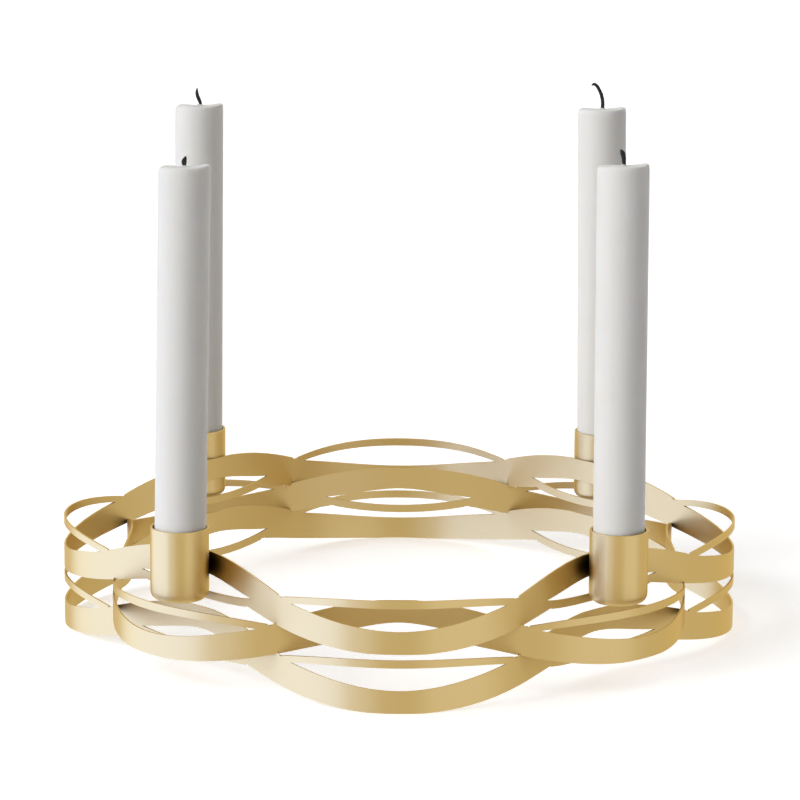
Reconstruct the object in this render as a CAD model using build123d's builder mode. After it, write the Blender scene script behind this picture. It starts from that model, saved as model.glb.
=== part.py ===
from build123d import *

import os
from math import atan2, cos, degrees, radians, sin

# Advent candle holder: three pierced brass strip rings, half-lapped into one another, carrying four
# brass cups with a taper candle in each. Millimetres, +Z up, the viewer's side towards -Y. The origin
# is on the table, under the middle of the rings.

os.makedirs("parts", exist_ok=True)

# Names of the dips between the upper ring's lobes, where the cups stand, counted anticlockwise
CORNERS = ("front_right", "back_right", "back_left", "front_left")

# Strip and its wavy plan, to the middle of its wall
strip_thickness = 0.8
strip_height = 28.2
lobe_radius = 148.3
dip_radius = 118.8

# Strands of the pierced strip and the windows between them, at their middles
wide_strand = 9.65
fine_strand = 3.4
lobe_window_height = 9.9
dip_window_height = 8.1

# Heights above the strip's lower edge: window tips, the notch in its upper edge, the crest of its
# lower edge, and both edges where another ring crosses
lobe_window_tip = 16.5
dip_window_tip = 13.5
notch_height = 18.4
crest_height = 9.4
crossing_top = 19.45
crossing_bottom = 5.75

# The outermost swells of the wavy edges are cut off flat by this much
edge_flat = 0.25

# Polar angles from a lobe's centre, and of the notch before the crossing
lobe_tip_angle = 19.3
dip_tip_angle = 29.2
crest_angle = 30.3
notch_before_crossing = 1.1

# Rise of the wavy edges per unit of length, where they end
fine_top_slope = 0.26
lobe_window_top_slope = 0.20
lobe_window_bottom_slope = 0.25
dip_window_top_slope = 0.12
dip_window_bottom_slope = 0.20
wide_top_slope = 0.48
wide_bottom_slope = 0.27
fine_bottom_slope = 0.17

# Half-lap joints where two rings cross
lap = 1.0
lap_clearance = 0.08

# Cups
cup_wall = 1.0
cup_floor = 2.5
cup_height = 31.5
cup_base_radius = 4.0
cup_rim_round = 0.3
cup_above_strand = 1.25
braze_gap = 0.02

# Candles and wicks
candle_diameter = 22.0
candle_clearance = 0.5
candle_foot_chamfer = 0.5
candle_rim_round = 1.6
candle_dish_depth = 1.2
candle_dish_inset = 2.2
wick_diameter = 1.5
wick_clearance = 0.05
wick_foot = 1.0
candle_lengths = {"front_left": 184.4, "front_right": 186.0, "back_left": 180.3, "back_right": 179.8}

# Free end of each wick: arcs as (radius, turn in degrees, positive to the left seen from the front)
wick_bends = {
    "front_left": ((9.0, -25.0),),
    "front_right": ((16.0, 22.0),),
    "back_left": ((6.0, 24.0), (11.0, -26.0)),
    "back_right": ((22.0, 14.0), (5.2, 92.0)),
}

# Sizes worked out from the values above
lobes = len(CORNERS)
pitch = 360.0 / lobes
front = -90.0
mean_radius = (lobe_radius + dip_radius) / 2
wave = (lobe_radius - dip_radius) / 2
lobe_window_bottom = wide_strand
lobe_window_top = lobe_window_bottom + lobe_window_height
fine_top_at_lobe = lobe_window_top + fine_strand
dip_window_top = strip_height - wide_strand
dip_window_bottom = dip_window_top - dip_window_height
fine_bottom_at_dip = dip_window_bottom - fine_strand
crossing_angle = pitch / 4
notch_angle = crossing_angle - notch_before_crossing
crossing_lean = degrees(atan2(lobes * wave, mean_radius))
ring_step = crossing_top - crossing_bottom - lap
upper_base = 2 * ring_step
cup_bore = candle_diameter + 2 * candle_clearance
cup_diameter = cup_bore + 2 * cup_wall
cup_pitch_radius = dip_radius + strip_thickness / 2 + braze_gap + cup_diameter / 2
wide_strand_middle = upper_base + strip_height - wide_strand / 2
cup_base = wide_strand_middle + cup_above_strand - cup_height / 2
candle_base = cup_base + cup_floor

# Cutters start inside the ring, reach past it, and overlap beside a notch, so no tooth is left
cutter_start = dip_radius / 2
cutter_reach = lobe_radius
cutter_margin = strip_height / 4
cutter_lead = strip_thickness
points_per_lobe = 8


def plan_radius(angle):
    """Middle of the strip's wall, at an angle from a lobe's centre."""
    return mean_radius + wave * cos(radians(lobes * angle))


def wall_points(offset):
    """Points once round the wall, moved outwards by the offset."""
    points = []
    for index in range(lobes * points_per_lobe):
        angle = index * pitch / points_per_lobe
        radius = plan_radius(angle)
        slope = -lobes * wave * sin(radians(lobes * angle))
        middle = Vector(radius, 0).rotate(Axis.Z, angle)
        outward = Vector(offset, 0).rotate(Axis.Z, angle - degrees(atan2(slope, radius)))
        points.append(middle + outward)
    return points


def facing(angle):
    """Plane that looks outwards at an angle: its X runs along the wall, its Y is up."""
    outward = Vector(1, 0, 0).rotate(Axis.Z, angle)
    return Plane(origin=outward * cutter_start, x_dir=outward.rotate(Axis.Z, 90), z_dir=outward)


def from_lobe(angle):
    """Distance along a lobe's facing plane of the wall's middle at an angle from that lobe."""
    return plan_radius(angle) * sin(radians(angle))


def from_dip(angle):
    """The same distance along the facing plane of the dip beside that lobe."""
    return plan_radius(angle) * sin(radians(pitch / 2 - angle))


def wavy_edge(ends, middle, between=()):
    """Points of a mirrored edge, left to right, through its middle height and any points between."""
    left = [(-x, y) for x, y in (ends, *between)]
    right = [(x, y) for x, y in (*reversed(between), ends)]
    return [*left, (0, middle), *right]


def past_edge(ends, slope, limit):
    """Points that close a cut beyond a wavy edge: a short lead past each end, then out to a limit."""
    lead = (ends[0] + cutter_lead, ends[1] - slope * cutter_lead)
    side = ends[0] + cutter_margin
    return [lead, (side, limit), (-side, limit), (-lead[0], lead[1])]


# Where the wavy edges end or cross, on the facing plane of a lobe and of the dip beside it
notch_by_lobe = (from_lobe(notch_angle), notch_height)
notch_by_dip = (from_dip(notch_angle), notch_height)
crest_by_lobe = (from_lobe(crest_angle), crest_height)
crest_by_dip = (from_dip(crest_angle), crest_height)
low_crossing = (from_lobe(crossing_angle), crossing_bottom)
high_crossing = (from_dip(crossing_angle), crossing_top)
lobe_tip = (from_lobe(lobe_tip_angle), lobe_window_tip)
dip_tip = (from_dip(dip_tip_angle), dip_window_tip)
above = strip_height + cutter_margin
below = -cutter_margin

# Cuts that leave a lobe: fine strand on top, window, wide strand sagging below
lobe_cuts = (
    (wavy_edge(notch_by_lobe, fine_top_at_lobe), fine_top_slope, above),
    (wavy_edge(crest_by_lobe, -edge_flat, [low_crossing]), -wide_bottom_slope, below),
)
lobe_window = (
    (wavy_edge(lobe_tip, lobe_window_top), lobe_window_top_slope),
    (wavy_edge(lobe_tip, lobe_window_bottom), -lobe_window_bottom_slope),
)

# Cuts that leave a dip: wide strand on top, window, fine strand below
dip_cuts = (
    (wavy_edge(notch_by_dip, strip_height + edge_flat, [high_crossing]), wide_top_slope, above),
    (wavy_edge(crest_by_dip, fine_bottom_at_dip), -fine_bottom_slope, below),
)
dip_window = (
    (wavy_edge(dip_tip, dip_window_top), dip_window_top_slope),
    (wavy_edge(dip_tip, dip_window_bottom), -dip_window_bottom_slope),
)


# One pierced strip ring, a lobe towards +X, standing on the origin's plane
with BuildPart() as strip_ring:
    # Plain wall, as high as the strip
    with BuildSketch():
        with BuildLine():
            Spline(*wall_points(strip_thickness / 2), periodic=True)
        make_face()
        with BuildLine():
            Spline(*wall_points(-strip_thickness / 2), periodic=True)
        make_face(mode=Mode.SUBTRACT)
    extrude(amount=strip_height)

    # Wavy edges and windows, lobe and dip in turn
    for index in range(2 * lobes):
        cuts, window = (lobe_cuts, lobe_window) if index % 2 == 0 else (dip_cuts, dip_window)
        with BuildSketch(facing(index * pitch / 2)):
            for points, slope, limit in cuts:
                with BuildLine():
                    Spline(*points, tangents=((1, slope), (1, -slope)))
                    Polyline(points[-1], *past_edge(points[-1], slope, limit), points[0])
                make_face()
            with BuildLine():
                for points, slope in window:
                    Spline(*points, tangents=((1, slope), (1, -slope)))
            make_face()
    extrude(amount=cutter_reach, mode=Mode.SUBTRACT)


def make_ring(label, turn, base, slot_floors):
    """Strip ring, turned and raised, with half-lap slots cut upwards from the heights given."""
    with BuildPart() as ring:
        add(strip_ring.part.moved(Location((0, 0, base), (0, 0, turn))))
        for index in range(2 * lobes):
            place = turn + crossing_angle + index * pitch / 2
            lean = -crossing_lean if index % 2 == 0 else crossing_lean
            along = Vector(1, 0, 0).rotate(Axis.Z, place + 90 + lean)
            for floor in slot_floors:
                spot = Vector(mean_radius, 0, base + floor).rotate(Axis.Z, place)
                with BuildSketch(Plane(origin=spot, x_dir=along, z_dir=(0, 0, 1))):
                    Rectangle(cutter_margin, strip_thickness + 2 * lap_clearance)
        extrude(amount=cutter_margin, mode=Mode.SUBTRACT)
    ring.part.label = label
    export_step(ring.part, f"parts/{label}.step")


def make_cup(label, centre):
    seat = Plane(origin=(centre.X, centre.Y, cup_base))
    with BuildPart() as cup:
        with BuildSketch(seat):
            Circle(cup_diameter / 2)
        extrude(amount=cup_height)
        fillet(cup.edges().group_by(Axis.Z)[0], cup_base_radius)
        with BuildSketch(seat.offset(cup_floor)):
            Circle(cup_bore / 2)
        extrude(amount=cup_height - cup_floor, mode=Mode.SUBTRACT)
        fillet(cup.edges().group_by(Axis.Z)[-1], cup_rim_round)
    cup.part.label = label
    export_step(cup.part, f"parts/{label}.step")


def make_candle(label, centre, length):
    radius = candle_diameter / 2
    seat = Plane(origin=(centre.X, centre.Y, candle_base))
    dish_radius = radius - candle_dish_inset
    with BuildPart() as candle:
        with BuildSketch(seat):
            Circle(radius)
        extrude(amount=length)
        chamfer(candle.edges().group_by(Axis.Z)[0], candle_foot_chamfer)
        fillet(candle.edges().group_by(Axis.Z)[-1], candle_rim_round)
        # Shallow dish that the flame has melted
        with BuildSketch(Plane(origin=seat.origin, x_dir=(1, 0, 0), z_dir=(0, -1, 0))):
            with BuildLine():
                Line((dish_radius, length), (0, length))
                Line((0, length), (0, length - candle_dish_depth))
                TangentArc((0, length - candle_dish_depth), (dish_radius, length), tangent=(1, 0))
            make_face()
        revolve(axis=Axis(seat.origin, (0, 0, 1)), mode=Mode.SUBTRACT)
        # Bore along the middle for the wick
        with BuildSketch(seat.offset(wick_foot)):
            Circle(wick_diameter / 2 + wick_clearance)
        extrude(amount=length, mode=Mode.SUBTRACT)
    candle.part.label = label
    export_step(candle.part, f"parts/{label}.step")


def make_wick(label, centre, length, bends):
    foot = Plane(origin=(centre.X, centre.Y, candle_base + wick_foot), x_dir=(-1, 0, 0), z_dir=(0, 1, 0))
    with BuildPart() as wick:
        with BuildLine(foot) as path:
            run = Line((0, 0), (0, length - candle_dish_depth - wick_foot))
            for radius, turn in bends:
                run = JernArc(run @ 1, run % 1, radius, -turn)
        with BuildSketch(Plane(origin=foot.origin)):
            Circle(wick_diameter / 2)
        sweep(path=path.line)
    wick.part.label = label
    export_step(wick.part, f"parts/{label}.step")


upward_slot = crossing_top - lap / 2
downward_slot = crossing_bottom + lap / 2 - cutter_margin
make_ring("lower_ring", front, 0, [upward_slot])
make_ring("middle_ring", front + pitch / 2, ring_step, [upward_slot, downward_slot])
make_ring("upper_ring", front, upper_base, [downward_slot])

for number, corner in enumerate(CORNERS):
    spot = Vector(cup_pitch_radius, 0).rotate(Axis.Z, front + pitch / 2 + number * pitch)
    make_cup(f"cup_{corner}", spot)
    make_candle(f"candle_{corner}", spot, candle_lengths[corner])
    make_wick(f"wick_{corner}", spot, candle_lengths[corner], wick_bends[corner])
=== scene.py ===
from math import cos, hypot, pi, radians, sin, tan

import bpy
from mathutils import Matrix, Vector, noise


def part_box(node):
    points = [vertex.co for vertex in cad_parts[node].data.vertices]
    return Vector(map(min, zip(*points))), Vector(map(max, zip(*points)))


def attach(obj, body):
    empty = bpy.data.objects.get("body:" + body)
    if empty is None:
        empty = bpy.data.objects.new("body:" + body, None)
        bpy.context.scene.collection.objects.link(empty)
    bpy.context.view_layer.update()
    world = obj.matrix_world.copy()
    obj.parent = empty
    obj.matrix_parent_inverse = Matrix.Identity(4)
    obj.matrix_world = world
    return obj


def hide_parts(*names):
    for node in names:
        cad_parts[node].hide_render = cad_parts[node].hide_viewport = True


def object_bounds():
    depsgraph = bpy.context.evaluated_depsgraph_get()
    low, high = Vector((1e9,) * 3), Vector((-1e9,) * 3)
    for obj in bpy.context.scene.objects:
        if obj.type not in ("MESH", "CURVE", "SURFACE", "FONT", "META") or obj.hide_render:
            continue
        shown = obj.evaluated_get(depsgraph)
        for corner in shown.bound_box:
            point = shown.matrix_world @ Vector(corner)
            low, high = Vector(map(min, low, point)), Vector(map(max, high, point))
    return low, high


# Advent candle holder. The satin brass rings and cups are the frame's own solids, with a finish from
# here. The wax candles and burnt wicks are modelled here. Metres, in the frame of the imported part: +Z
# up, the viewer's side towards -Y.

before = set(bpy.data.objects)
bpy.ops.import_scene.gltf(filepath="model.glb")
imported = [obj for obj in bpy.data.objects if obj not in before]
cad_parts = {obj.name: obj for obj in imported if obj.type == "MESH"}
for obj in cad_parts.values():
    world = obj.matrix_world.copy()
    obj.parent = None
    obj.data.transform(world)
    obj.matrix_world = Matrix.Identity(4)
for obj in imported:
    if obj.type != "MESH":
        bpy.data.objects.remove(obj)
cad_low, cad_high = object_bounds()

MM = 0.001
RINGS = ("lower_ring", "middle_ring", "upper_ring")
CORNERS = ("front_left", "front_right", "back_left", "back_right")
WHITE = (1.0, 1.0, 1.0, 1.0)
BLACK = (0.0, 0.0, 0.0, 1.0)

# Sockets of a Mix node that take and give colours
MIX_SHARE = 0
MIX_FIRST = 6
MIX_SECOND = 7
MIX_COLOUR = 2


class Wire:
    """A node's output. Arithmetic on it adds Math nodes to its tree."""

    def __init__(self, nodes, socket):
        self.nodes = nodes
        self.socket = socket

    def math(self, operation, *terms):
        return self.nodes.add("ShaderNodeMath", dict(enumerate(terms)), operation=operation)["Value"]

    def __add__(self, other):
        return self.math("ADD", self, other)

    def __radd__(self, other):
        return self.math("ADD", other, self)

    def __sub__(self, other):
        return self.math("SUBTRACT", self, other)

    def __rsub__(self, other):
        return self.math("SUBTRACT", other, self)

    def __mul__(self, other):
        return self.math("MULTIPLY", self, other)

    def __rmul__(self, other):
        return self.math("MULTIPLY", other, self)

    def __abs__(self):
        return self.math("ABSOLUTE", self)

    def larger(self, other):
        """The larger of two values."""
        return self.math("MAXIMUM", self, other)

    def between(self, low, high):
        """0 below the low value, 1 above the high one, smooth between them."""
        inputs = {"Value": self, "From Min": low, "From Max": high}
        return self.nodes.add("ShaderNodeMapRange", inputs, interpolation_type="SMOOTHSTEP")["Result"]


class Made:
    """A node that was added: its outputs by name or number."""

    def __init__(self, nodes, node):
        self.nodes = nodes
        self.node = node

    def __getitem__(self, output):
        return Wire(self.nodes, self.node.outputs[output])


class Nodes:
    """The node tree of a material or a world."""

    def __init__(self, owner):
        owner.use_nodes = True
        self.tree = owner.node_tree
        self.tree.nodes.clear()

    def add(self, kind, inputs=None, **settings):
        """One node: its settings are set first, then the values or links of its sockets."""
        node = self.tree.nodes.new(kind)
        for name, value in settings.items():
            setattr(node, name, value)
        for socket, value in (inputs or {}).items():
            if isinstance(value, Wire):
                self.tree.links.new(value.socket, node.inputs[socket])
            else:
                node.inputs[socket].default_value = value
        return Made(self, node)

    def mix(self, share, first, second):
        """Colour between two colours."""
        inputs = {MIX_SHARE: share, MIX_FIRST: first, MIX_SECOND: second}
        return self.add("ShaderNodeMix", inputs, data_type="RGBA")[MIX_COLOUR]

    def place(self):
        """Object coordinates, in metres."""
        return self.add("ShaderNodeTexCoord")["Object"]

    def axes(self, vector):
        """The X, Y and Z values of a vector."""
        return self.add("ShaderNodeSeparateXYZ", {"Vector": vector})

    def noise(self, scale, detail):
        """Noise from 0 to 1, with as many features in a metre along each axis as the scale says."""
        stretched = self.add("ShaderNodeVectorMath", {0: self.place(), 1: scale}, operation="MULTIPLY")
        inputs = {"Vector": stretched["Vector"], "Scale": 1.0, "Detail": detail}
        return self.add("ShaderNodeTexNoise", inputs)["Fac"]

    def bump(self, height, depth):
        """Normal of a relief whose height, from 0 to 1, spans a depth in metres."""
        inputs = {"Strength": 1.0, "Distance": depth, "Height": height}
        return self.add("ShaderNodeBump", inputs)["Normal"]

    def surface(self, inputs):
        """A Principled shader with these inputs, as the material's surface."""
        shader = self.add("ShaderNodeBsdfPrincipled", inputs)["BSDF"]
        self.add("ShaderNodeOutputMaterial", {"Surface": shader})


def material(name):
    """A new material and its node tree."""
    made = bpy.data.materials.new(name)
    return made, Nodes(made)


# Satin brass: its colours
GOLD = (0.565, 0.392, 0.14, 1.0)
PALE_GOLD = (0.65, 0.483, 0.207, 1.0)
GRAZING_GOLD = (1.0, 0.86, 0.55, 1.0)
# The darkest colour of the painted shade, put in crevices where shade falls
CREVICE_SHADE_COLOUR = (0.065, 0.048, 0.02, 1.0)

# Features in a metre of the brush streaks, which run level, and of the clouds, and the streaks' depth
STRIP_STREAKS = (30.0, 30.0, 5200.0)
CUP_STREAKS = (60.0, 60.0, 6500.0)
BRASS_CLOUDS = (28.0, 28.0, 40.0)
STREAK_DEPTH = 0.004 * MM

# Shares of pale gold in streaks, in clouds and on cut edges, where it is partly polish and partly a painted
# highlight
STREAK_PALENESS = 0.12
CLOUD_PALENESS = 0.16
STRIP_EDGE_POLISH_AND_HIGHLIGHT = 0.1
CUP_EDGE_POLISH_AND_HIGHLIGHT = 0.7

# Roughness, what streaks and clouds add to it, and what it loses on cut edges
SATIN = 0.37
STREAK_ROUGHNESS = 0.08
CLOUD_ROUGHNESS = 0.05
EDGE_POLISH = 0.05

# The brushing spreads gloss across the streaks: its strength, and a quarter turn from their direction
BRUSHING = 0.8
ACROSS_STREAKS = 0.25

# A face becomes a cut edge as the upright part of its normal, up or down, goes from one to the other
EDGE_BEGINS = 0.35
EDGE_WHOLE = 0.7

# Painted shade, a dark colour in crevices and between close parts up to this wide, lies from the most where
# the share of open air is low to none where it is high, and not in the bores of the cups
CREVICE = 9.0 * MM
CREVICE_SAMPLES = 8
LOW_AIR = 0.2
HIGH_AIR = 0.8
MOST_CREVICE_SHADE = 0.78
CUP_WALL = 1.0 * MM


def outside_bores(nodes):
    """1 on the outside of the four cups and on all else, 0 inside their bores."""
    # The cups stand on the diagonals, as far from the X axis as from the Y axis
    low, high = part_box("cup_front_right")
    centre = (low.x + high.x) / 2
    radius = (high.x - low.x) / 2
    place = nodes.axes(nodes.place())
    across = abs(place["X"]) - centre
    along = abs(place["Y"]) - centre
    return (across * across + along * along).between((radius - CUP_WALL) ** 2, radius ** 2)


def satin_brass(name, streaks, edge_polish_and_highlight):
    """Brushed brass: fine level streaks, faint clouds, cut edges paler from polish and from a painted
    highlight, and painted shade in the crevices.
    """
    made, nodes = material(name)
    streak = nodes.noise(streaks, detail=3.0)
    cloud = nodes.noise(BRASS_CLOUDS, detail=3.0)
    normal = nodes.add("ShaderNodeNewGeometry")["Normal"]
    edge = abs(nodes.axes(normal)["Z"]).between(EDGE_BEGINS, EDGE_WHOLE)
    air = nodes.add("ShaderNodeAmbientOcclusion", {"Distance": CREVICE}, samples=CREVICE_SAMPLES)["AO"]
    # Painted shade: the colour darkens where little open air surrounds the surface
    crevice_shade = outside_bores(nodes) * (MOST_CREVICE_SHADE - MOST_CREVICE_SHADE * air.between(LOW_AIR, HIGH_AIR))
    # On cut edges the pale gold is partly polish and partly a painted highlight
    paleness_and_edge_highlight = STREAK_PALENESS * streak + CLOUD_PALENESS * cloud + edge_polish_and_highlight * edge
    nodes.surface({
        "Base Color": nodes.mix(crevice_shade, nodes.mix(paleness_and_edge_highlight, GOLD, PALE_GOLD), CREVICE_SHADE_COLOUR),
        "Metallic": 1.0,
        "Roughness": SATIN + STREAK_ROUGHNESS * streak + CLOUD_ROUGHNESS * cloud - EDGE_POLISH * edge,
        "Specular Tint": GRAZING_GOLD,
        "Anisotropic": BRUSHING,
        "Anisotropic Rotation": ACROSS_STREAKS,
        "Normal": nodes.bump(streak, STREAK_DEPTH),
    })
    return made


# Candle wax: its colours, and features in a metre of the dipping runs, the mottle and the pores
WAX_SHADE = (0.80, 0.79, 0.765, 1.0)
WAX_WHITE = (0.87, 0.865, 0.85, 1.0)
WAX_RUNS = (420.0, 420.0, 14.0)
WAX_MOTTLE = (90.0, 90.0, 60.0)
WAX_PORES = (1500.0, 1500.0, 1500.0)

# Shares of these in the whiteness and in the relief, and the relief's depth
MOTTLE_WHITENESS = 0.5
RUN_WHITENESS = 0.3
RUN_RELIEF = 0.6
MOTTLE_RELIEF = 0.25
PORE_RELIEF = 0.15
WAX_RELIEF = 0.06 * MM

# Roughness, and what the mottle adds to it
WAX_ROUGHNESS = 0.5
MOTTLE_ROUGHNESS = 0.12

# How deep light goes into the wax, and how much of that red, green and blue each do
WAX_DEPTH = 3.0 * MM
WAX_GLOW = (1.0, 0.85, 0.7)


def candle_wax():
    """White stearin: translucent, a little mottled, with faint upright runs from dipping."""
    made, nodes = material("candle_wax")
    runs = nodes.noise(WAX_RUNS, detail=2.0)
    mottle = nodes.noise(WAX_MOTTLE, detail=4.0)
    pores = nodes.noise(WAX_PORES, detail=2.0)
    whiteness = MOTTLE_WHITENESS * mottle + RUN_WHITENESS * runs
    relief = RUN_RELIEF * runs + MOTTLE_RELIEF * mottle + PORE_RELIEF * pores
    nodes.surface({
        "Base Color": nodes.mix(whiteness, WAX_SHADE, WAX_WHITE),
        "Roughness": WAX_ROUGHNESS + MOTTLE_ROUGHNESS * mottle,
        "IOR": 1.44,
        "Specular IOR Level": 0.06,
        "Subsurface Weight": 0.6,
        "Subsurface Radius": WAX_GLOW,
        "Subsurface Scale": WAX_DEPTH,
        "Normal": nodes.bump(relief, WAX_RELIEF),
    })
    return made


# Burnt wick: its colours, features in a metre of its flecks, and the scale of its braid's waves
CHAR = (0.035, 0.033, 0.031, 1.0)
ASH = (0.16, 0.152, 0.142, 1.0)
WICK_FLECKS = (1800.0, 1800.0, 1400.0)
BRAID_SCALE = 420.0

# A fleck turns to ash as its noise goes from one value to the other
ASH_BEGINS = 0.58
ASH_WHOLE = 0.72
MOST_ASH = 0.75

# Roughness and what ash takes from it, shares of the braid and the flecks in the relief, and its depth
CHAR_ROUGHNESS = 0.85
ASH_SMOOTHNESS = 0.1
BRAID_RELIEF = 0.6
FLECK_RELIEF = 0.4
WICK_RELIEF = 0.12 * MM


def charred_wick():
    """Burnt cotton: charcoal with ashy flecks and the ridges of its braid."""
    made, nodes = material("charred_wick")
    flecks = nodes.noise(WICK_FLECKS, detail=3.0)
    ash = flecks.between(ASH_BEGINS, ASH_WHOLE)
    waves = {"Vector": nodes.place(), "Scale": BRAID_SCALE, "Distortion": 1.5, "Detail": 1.0}
    braid = nodes.add("ShaderNodeTexWave", waves, bands_direction="DIAGONAL")["Fac"]
    nodes.surface({
        "Base Color": nodes.mix(MOST_ASH * ash, CHAR, ASH),
        "Roughness": CHAR_ROUGHNESS - ASH_SMOOTHNESS * ash,
        "Specular IOR Level": 0.1,
        "Normal": nodes.bump(BRAID_RELIEF * braid + FLECK_RELIEF * flecks, WICK_RELIEF),
    })
    return made


def dress(node, finish):
    """Give a solid of the frame a finish from here."""
    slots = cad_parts[node].data.materials
    slots.clear()
    slots.append(finish)


strip_brass = satin_brass("strip_brass", STRIP_STREAKS, STRIP_EDGE_POLISH_AND_HIGHLIGHT)
cup_brass = satin_brass("cup_brass", CUP_STREAKS, CUP_EDGE_POLISH_AND_HIGHLIGHT)
wax = candle_wax()
wick_char = charred_wick()

for ring in RINGS:
    dress(ring, strip_brass)
for corner in CORNERS:
    dress(f"cup_{corner}", cup_brass)


def added(name, data):
    """A new object in the scene."""
    made = bpy.data.objects.new(name, data)
    bpy.context.scene.collection.objects.link(made)
    return made


def ringed_piece(name, rings, finish):
    """A closed smooth piece through rings of points that all have the same count."""
    count = len(rings[0])
    last = (len(rings) - 1) * count
    points = [Vector(point) for ring in rings for point in ring]
    foot = len(points)
    tip = foot + 1
    points.append(sum(points[:count], Vector()) / count)
    points.append(sum(points[last:foot], Vector()) / count)
    faces = []
    for low in range(0, last, count):
        high = low + count
        for step in range(count):
            beside = (step + 1) % count
            faces.append((low + step, low + beside, high + beside, high + step))
    for step in range(count):
        beside = (step + 1) % count
        faces.append((foot, beside, step))
        faces.append((tip, last + step, last + beside))
    mesh = bpy.data.meshes.new(name)
    mesh.from_pydata([tuple(point) for point in points], [], faces)
    mesh.polygons.foreach_set("use_smooth", [True] * len(mesh.polygons))
    mesh.materials.append(finish)
    return added(name, mesh)


# Candles: a straight wax body with a soft, unevenly melted top
CANDLE_SIDES = 96
BODY_STEP = 4.0 * MM
FOOT_CHAMFER = 0.5 * MM

# Unevenness of the side: its depth, and how dense it is round the candle and in a metre upwards
BODY_WAVE = 0.07 * MM
BODY_WAVES_ROUND = 1.2
BODY_WAVES_UPWARDS = 30.0

# The rim sags to the front and back, slopes down to the back and slumps at the left, with a wave on it
SADDLE_DEPTH = 0.7 * MM
BACK_SLOPE = 1.6 * MM
LEFT_SLUMP = 1.2 * MM
SLUMP_SHARPNESS = 6
RIM_WAVE = 0.25 * MM
RIM_WAVES_ROUND = 1.6

# The middle of the melted face lies this deep. A collar of wax rises to the wick, over a width in
# millimetres
MIDDLE_DEPTH = 1.0 * MM
COLLAR_HEIGHT = 0.7 * MM
COLLAR_WIDTH = 1.4

# Each candle stands a touch out of plumb in its cup: degrees to the right
LEAN = {"front_left": 0.8, "front_right": -0.25, "back_left": 0.25, "back_right": -0.7}

# The shoulder from the straight side to the melted face: inset and drop below the rim in millimetres, and
# the share of the rim's sag
SHOULDER = (
    (0.0, 9.0, 0.1), (0.0, 6.0, 0.3), (0.0, 4.0, 0.55), (0.0, 2.6, 0.75), (0.04, 1.6, 0.9),
    (0.18, 0.9, 1.0), (0.45, 0.42, 1.0), (0.85, 0.14, 1.0), (1.4, 0.02, 1.0),
)

# Radii of the rings of the melted face in millimetres, from its rim to the wick
FACE_RADII = (8.8, 7.8, 6.6, 5.4, 4.2, 3.2, 2.4, 1.9, 1.4, 1.05, 0.8)

# Each candle and each wick has its own part of the noise, this far from the one before
WAX_SEED_STEP = 7.3
WICK_SEED_STEP = 3.1


def rim_sag(angle, seed):
    """How far the melted rim lies below the candle's full height, at an angle about its axis."""
    across = sin(angle)
    even = SADDLE_DEPTH * (1 - cos(2 * angle)) + BACK_SLOPE * across * abs(across)
    even += LEFT_SLUMP * max(0.0, -cos(angle)) ** SLUMP_SHARPNESS
    uneven = noise.noise(Vector((RIM_WAVES_ROUND * cos(angle), RIM_WAVES_ROUND * across, seed)))
    return even + RIM_WAVE * uneven


def candle_piece(corner, seed):
    """The wax body of a candle, in place of its solid."""
    low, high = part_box(f"candle_{corner}")
    middle = (low + high) / 2
    radius = (high.x - low.x) / 2
    slant = tan(radians(LEAN[corner]))
    angles = [2 * pi * step / CANDLE_SIDES for step in range(CANDLE_SIDES)]

    def place(angle, reach, height):
        aside = slant * (height - low.z)
        return middle.x + reach * cos(angle) + aside, middle.y + reach * sin(angle), height

    def side_ring(reach, height, sag_share):
        points = []
        for angle in angles:
            around = BODY_WAVES_ROUND * cos(angle), BODY_WAVES_ROUND * sin(angle)
            wave = noise.noise(Vector((*around, BODY_WAVES_UPWARDS * height + seed)))
            # The wave is from -1 to 1 and only takes wax away
            out = reach - BODY_WAVE * (0.5 + 0.5 * wave) * (reach / radius)
            points.append(place(angle, out, height - sag_share * rim_sag(angle, seed)))
        return points

    def face_ring(reach, raised):
        rim_reach = radius - SHOULDER[-1][0] * MM
        share = (reach / rim_reach) ** 2
        points = []
        for angle in angles:
            drop = share * rim_sag(angle, seed) + (1 - share) * MIDDLE_DEPTH - raised
            points.append(place(angle, reach, high.z - drop))
        return points

    side_foot = low.z + FOOT_CHAMFER
    side_top = high.z - SHOULDER[0][1] * MM
    steps = int((side_top - low.z) / BODY_STEP)
    rings = [side_ring(radius - FOOT_CHAMFER, low.z, 0), side_ring(radius, side_foot, 0)]
    for step in range(1, steps):
        rings.append(side_ring(radius, side_foot + step * (side_top - side_foot) / steps, 0))
    for inset, drop, share in SHOULDER:
        rings.append(side_ring(radius - inset * MM, high.z - drop * MM, share))
    for reach in FACE_RADII:
        nearness = max(0.0, 1 - (reach - FACE_RADII[-1]) / COLLAR_WIDTH)
        rings.append(face_ring(reach * MM, COLLAR_HEIGHT * nearness ** 2))
    made = ringed_piece(f"wax_{corner}", rings, wax)
    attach(made, f"taper_{corner}")
    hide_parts(f"candle_{corner}")


# Wicks: sides, steps from one point of an end to the next, and thickness as a share of the width
WICK_SIDES = 14
WICK_STEPS = 10
WICK_FLATNESS = 0.72

# How ragged a wick is, as a share of its width, and how dense that is round it and in a metre upwards
WICK_RAGGEDNESS = 0.16
WICK_TUFTS_ROUND = 2.0
WICK_TUFTS_UPWARDS = 900.0

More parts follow.
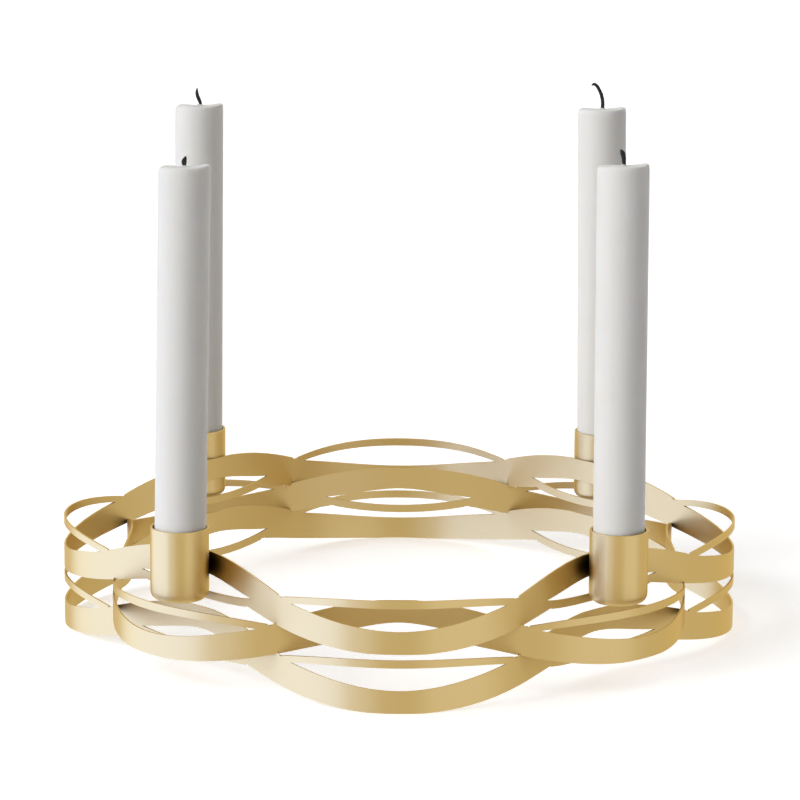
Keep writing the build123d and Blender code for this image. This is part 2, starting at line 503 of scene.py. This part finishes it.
# Free ends as (sideways, height, half width) in millimetres from the middle of the melted face
WICK_ENDS = {
    "front_left": (
        (0.0, 0.0, 0.75), (-0.1, 1.0, 0.9), (-0.15, 2.2, 1.1), (0.2, 3.4, 0.8), (0.65, 4.6, 0.12),
    ),
    "front_right": (
        (0.25, 0.0, 0.7), (0.2, 2.0, 0.85), (-0.05, 4.0, 1.0), (-0.45, 5.5, 1.0), (-1.2, 6.9, 0.35),
    ),
    "back_left": (
        (0.6, 0.0, 0.65), (0.4, 1.5, 0.75), (-0.4, 3.4, 0.82), (-1.0, 5.3, 0.75),
        (-1.05, 6.8, 0.55), (-0.95, 8.2, 0.12),
    ),
    "back_right": (
        (0.2, 0.0, 0.85), (0.25, 2.2, 0.82), (0.1, 4.6, 0.8), (-0.5, 7.0, 0.78), (-1.6, 9.5, 0.75),
        (-2.8, 11.1, 0.7), (-3.8, 11.5, 0.62), (-4.8, 11.0, 0.3),
    ),
}


def curve_value(before, start, stop, after, share):
    """Value at a share of the way from start to stop, smooth with the values before and after them."""
    bend = 2 * before - 5 * start + 4 * stop - after
    twist = 3 * start - before - 3 * stop + after
    return 0.5 * (2 * start + (stop - before) * share + bend * share ** 2 + twist * share ** 3)


def smooth_run(points, steps):
    """Points of a smooth curve through the given ones, each with the same count of values."""
    lead_in = tuple(2 * end - inner for end, inner in zip(points[0], points[1]))
    lead_out = tuple(2 * end - inner for end, inner in zip(points[-1], points[-2]))
    led = [lead_in, *points, lead_out]
    run = []
    for index in range(len(points) - 1):
        for step in range(steps):
            values = zip(*led[index:index + 4])
            run.append(tuple(curve_value(*value, step / steps) for value in values))
    run.append(points[-1])
    return run


def wick_piece(corner, seed):
    """The wick of a candle, with its burnt free end, in place of its solid."""
    low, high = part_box(f"candle_{corner}")
    foot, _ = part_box(f"wick_{corner}")
    middle = (low + high) / 2
    face = high.z - MIDDLE_DEPTH
    slant = tan(radians(LEAN[corner]))
    half_width = WICK_ENDS[corner][0][2] * MM
    spine = [(0.0, foot.z, half_width), (0.0, (foot.z + face) / 2, half_width)]
    for x, z, width in smooth_run(WICK_ENDS[corner], WICK_STEPS):
        spine.append((x * MM, face + z * MM, width * MM))
    rings = []
    for index, (x, z, width) in enumerate(spine):
        behind = spine[max(index - 1, 0)]
        ahead = spine[min(index + 1, len(spine) - 1)]
        drift = ahead[0] - behind[0]
        rise = ahead[1] - behind[1]
        run = hypot(drift, rise)
        side = Vector((rise / run, 0, -drift / run))
        centre = Vector((middle.x + x + slant * (z - low.z), middle.y, z))
        ring = []
        for step in range(WICK_SIDES):
            angle = 2 * pi * step / WICK_SIDES
            around = WICK_TUFTS_ROUND * cos(angle), WICK_TUFTS_ROUND * sin(angle)
            tuft = noise.noise(Vector((*around, WICK_TUFTS_UPWARDS * z + seed)))
            reach = width * (1 + WICK_RAGGEDNESS * tuft)
            depth = Vector((0, WICK_FLATNESS * reach * sin(angle), 0))
            ring.append(centre + (side * (reach * cos(angle)) + depth))
        rings.append(ring)
    made = ringed_piece(f"burnt_wick_{corner}", rings, wick_char)
    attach(made, f"taper_{corner}")
    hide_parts(f"wick_{corner}")


for number, corner in enumerate(CORNERS):
    candle_piece(corner, WAX_SEED_STEP * number)
    wick_piece(corner, WICK_SEED_STEP * number)


# Floor: pale, lifted to white for what looks at it, with the holder's shadow kept
FLOOR_HALF = 8.0
FLOOR_GAP = 0.1 * MM
FLOOR_SHADE = (0.86, 0.86, 0.86, 1.0)
FLOOR_PALE = (0.88, 0.88, 0.88, 1.0)
FLOOR_GRAIN = (3.0, 3.0, 3.0)
FLOOR_LIFT = 0.5


def looked_at(nodes):
    """1 for rays of the camera, of reflections and of what shines through, else 0."""
    path = nodes.add("ShaderNodeLightPath")
    seen = path["Is Camera Ray"].larger(path["Is Glossy Ray"])
    return seen.larger(path["Is Transmission Ray"])


def pale_floor():
    """A wide level floor just under the holder."""
    height = cad_low.z - FLOOR_GAP
    corners = ((-1, -1), (1, -1), (1, 1), (-1, 1))
    mesh = bpy.data.meshes.new("floor")
    mesh.from_pydata([(FLOOR_HALF * x, FLOOR_HALF * y, height) for x, y in corners], [], [(0, 1, 2, 3)])
    made, nodes = material("pale_floor")
    nodes.surface({
        "Base Color": nodes.mix(nodes.noise(FLOOR_GRAIN, detail=2.0), FLOOR_SHADE, FLOOR_PALE),
        "Roughness": 0.9,
        "Specular IOR Level": 0.1,
        "Emission Color": nodes.mix(looked_at(nodes), BLACK, WHITE),
        "Emission Strength": FLOOR_LIFT,
    })
    mesh.materials.append(made)
    floor = added("floor", mesh)
    # The metal mirrors the white surround in its place, and it keeps no light from below away
    floor.visible_glossy = False
    floor.visible_shadow = False


pale_floor()


# Light: an even surround, a soft key from the left, a weaker fill from behind, and cool cards for the
# metal to mirror
AMBIENT = 0.2
AMBIENT_TINT = (1.0, 0.95, 0.92, 1.0)

# Distant lamps that don't show in gloss: degrees to the viewer's left, degrees up, degrees of softness,
# strength and colour
LAMPS = {
    "key": {
        "azimuth": 60.0, "elevation": 30.0, "softness": 40.0, "strength": 2.2, "colour": (0.985, 1.0, 1.01),
    },
    "fill": {
        "azimuth": -155.0, "elevation": 35.0, "softness": 60.0, "strength": 0.9, "colour": (1.0, 1.0, 1.0),
    },
}

# Cards that show only in gloss: place, the way each faces, width and height, colour and strength
CARDS = {
    "left_card": {
        "place": (-0.9, -0.15, 0.0), "facing": (1.0, 0.0, 0.0), "width": 1.7, "height": 2.1,
        "colour": (0.18, 0.32, 1.0), "strength": 3.7,
    },
    "edge_card": {
        "place": (-0.53, -0.96, 0.0), "facing": (0.485, 0.875, 0.0), "width": 0.42, "height": 1.5,
        "colour": (0.22, 0.36, 1.0), "strength": 1.3,
    },
    "right_card": {
        "place": (1.17, -1.09, -0.1), "facing": (-0.73, 0.68, 0.0), "width": 1.7, "height": 1.8,
        "colour": (0.36, 0.5, 1.0), "strength": 0.8,
    },
}


def surround():
    """The world: dim and a little warm as light, white for what looks at it."""
    world = bpy.data.worlds.new("surround")
    world.cycles.sampling_method = "NONE"
    bpy.context.scene.world = world
    nodes = Nodes(world)
    dim = nodes.add("ShaderNodeBackground", {"Color": AMBIENT_TINT, "Strength": AMBIENT})["Background"]
    white = nodes.add("ShaderNodeBackground", {"Color": WHITE, "Strength": 1.0})["Background"]
    both = nodes.add("ShaderNodeMixShader", {0: looked_at(nodes), 1: dim, 2: white})["Shader"]
    nodes.add("ShaderNodeOutputWorld", {"Surface": both})


def lamp(name, kind, facing, colour, energy):
    """A lamp that shines the way it faces."""
    data = bpy.data.lights.new(name, kind)
    data.color = colour
    data.energy = energy
    made = added(name, data)
    made.rotation_mode = "QUATERNION"
    made.rotation_quaternion = Vector(facing).to_track_quat("-Z", "Y")
    return made


def soft_lamp(name, azimuth, elevation, softness, strength, colour):
    """A distant lamp with soft shadows."""
    turn = radians(azimuth)
    level = cos(radians(elevation))
    facing = (sin(turn) * level, cos(turn) * level, -sin(radians(elevation)))
    made = lamp(name, "SUN", facing, colour, strength)
    made.data.angle = radians(softness)
    made.visible_glossy = False


def card(name, place, facing, width, height, colour, strength):
    """A bright rectangle. Its energy grows with its area, so its size doesn't change how bright it is."""
    made = lamp(name, "AREA", facing, colour, strength * width * height * pi)
    made.location = place
    made.data.shape = "RECTANGLE"
    made.data.size = width
    made.data.size_y = height
    made.visible_camera = False
    made.visible_diffuse = False


surround()
for name, settings in LAMPS.items():
    soft_lamp(name, **settings)
for name, settings in CARDS.items():
    card(name, **settings)


# Camera: the photograph's viewing angle, a long lens from a little above. Pitch, downwards, and roll are
# in degrees, lens and sensor in millimetres
CAMERA_PLACE = (-0.0001, -2.0501, 0.5608)
CAMERA_PITCH = 12.66
CAMERA_ROLL = 0.39
CAMERA_LENS = 214.3
CAMERA_SENSOR = 36.0
CAMERA_REACH = 50.0


def photo_camera():
    """The camera of the scene."""
    data = bpy.data.cameras.new("camera")
    data.sensor_width = CAMERA_SENSOR
    data.lens = CAMERA_LENS
    data.clip_end = CAMERA_REACH
    camera = added("camera", data)
    pitch = Matrix.Rotation(radians(90 - CAMERA_PITCH), 4, "X")
    roll = Matrix.Rotation(radians(CAMERA_ROLL), 4, "Z")
    camera.matrix_world = Matrix.Translation(CAMERA_PLACE) @ pitch @ roll
    bpy.context.scene.camera = camera


photo_camera()
bpy.context.scene.view_settings.view_transform = "Standard"
